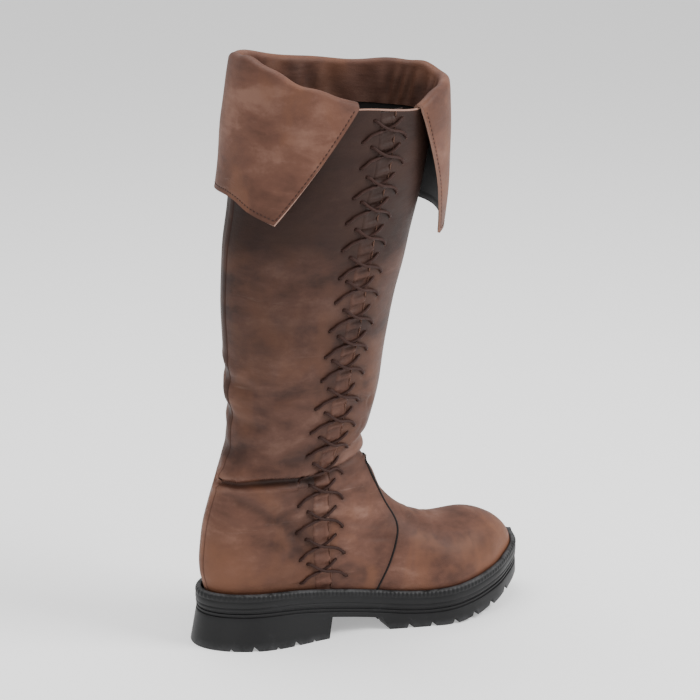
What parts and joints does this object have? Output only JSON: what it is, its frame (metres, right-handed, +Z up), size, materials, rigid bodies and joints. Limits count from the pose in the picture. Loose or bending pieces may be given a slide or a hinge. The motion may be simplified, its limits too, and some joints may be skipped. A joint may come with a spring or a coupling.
{
  "type": "tall laced folk boot",
  "caption": "Tall right leather boot in folk style: hollow shaft laced down its outer side, folded cuff round the collar, lugged rubber sole with a low heel block.",
  "frame": {"origin": "on the floor under the middle of the heel, in line with the heel's centre across", "axes": "+X towards the toe, -Y to the outer side of the foot, +Z up the shaft"},
  "size_m": [0.2928, 0.1479, 0.4662],
  "materials": {
    "upper_leather": "distressed brown, satin",
    "cuff_leather": "distressed brown, satin",
    "tongue_leather": "dark brown, matte",
    "lace_cord": "waxed dark brown cord",
    "sole_rubber": "black, satin",
    "insole_cloth": "black lining, matte"
  },
  "bodies": {
    "root": {"outsole": "sole_rubber", "midsole": "sole_rubber", "insole": "insole_cloth", "upper": "upper_leather", "tongue": "tongue_leather", "cuff": "cuff_leather", "lace_crossing_01": "lace_cord", "lace_crossing_02": "lace_cord", "lace_crossing_03": "lace_cord", "lace_crossing_04": "lace_cord", "lace_crossing_05": "lace_cord", "lace_crossing_06": "lace_cord", "lace_crossing_07": "lace_cord", "lace_crossing_08": "lace_cord", "lace_crossing_09": "lace_cord", "lace_crossing_10": "lace_cord", "lace_crossing_11": "lace_cord", "lace_crossing_12": "lace_cord", "lace_crossing_13": "lace_cord", "lace_crossing_14": "lace_cord", "lace_crossing_15": "lace_cord", "lace_crossing_16": "lace_cord", "lace_crossing_17": "lace_cord", "lace_crossing_18": "lace_cord"}
  },
  "joints": []
}
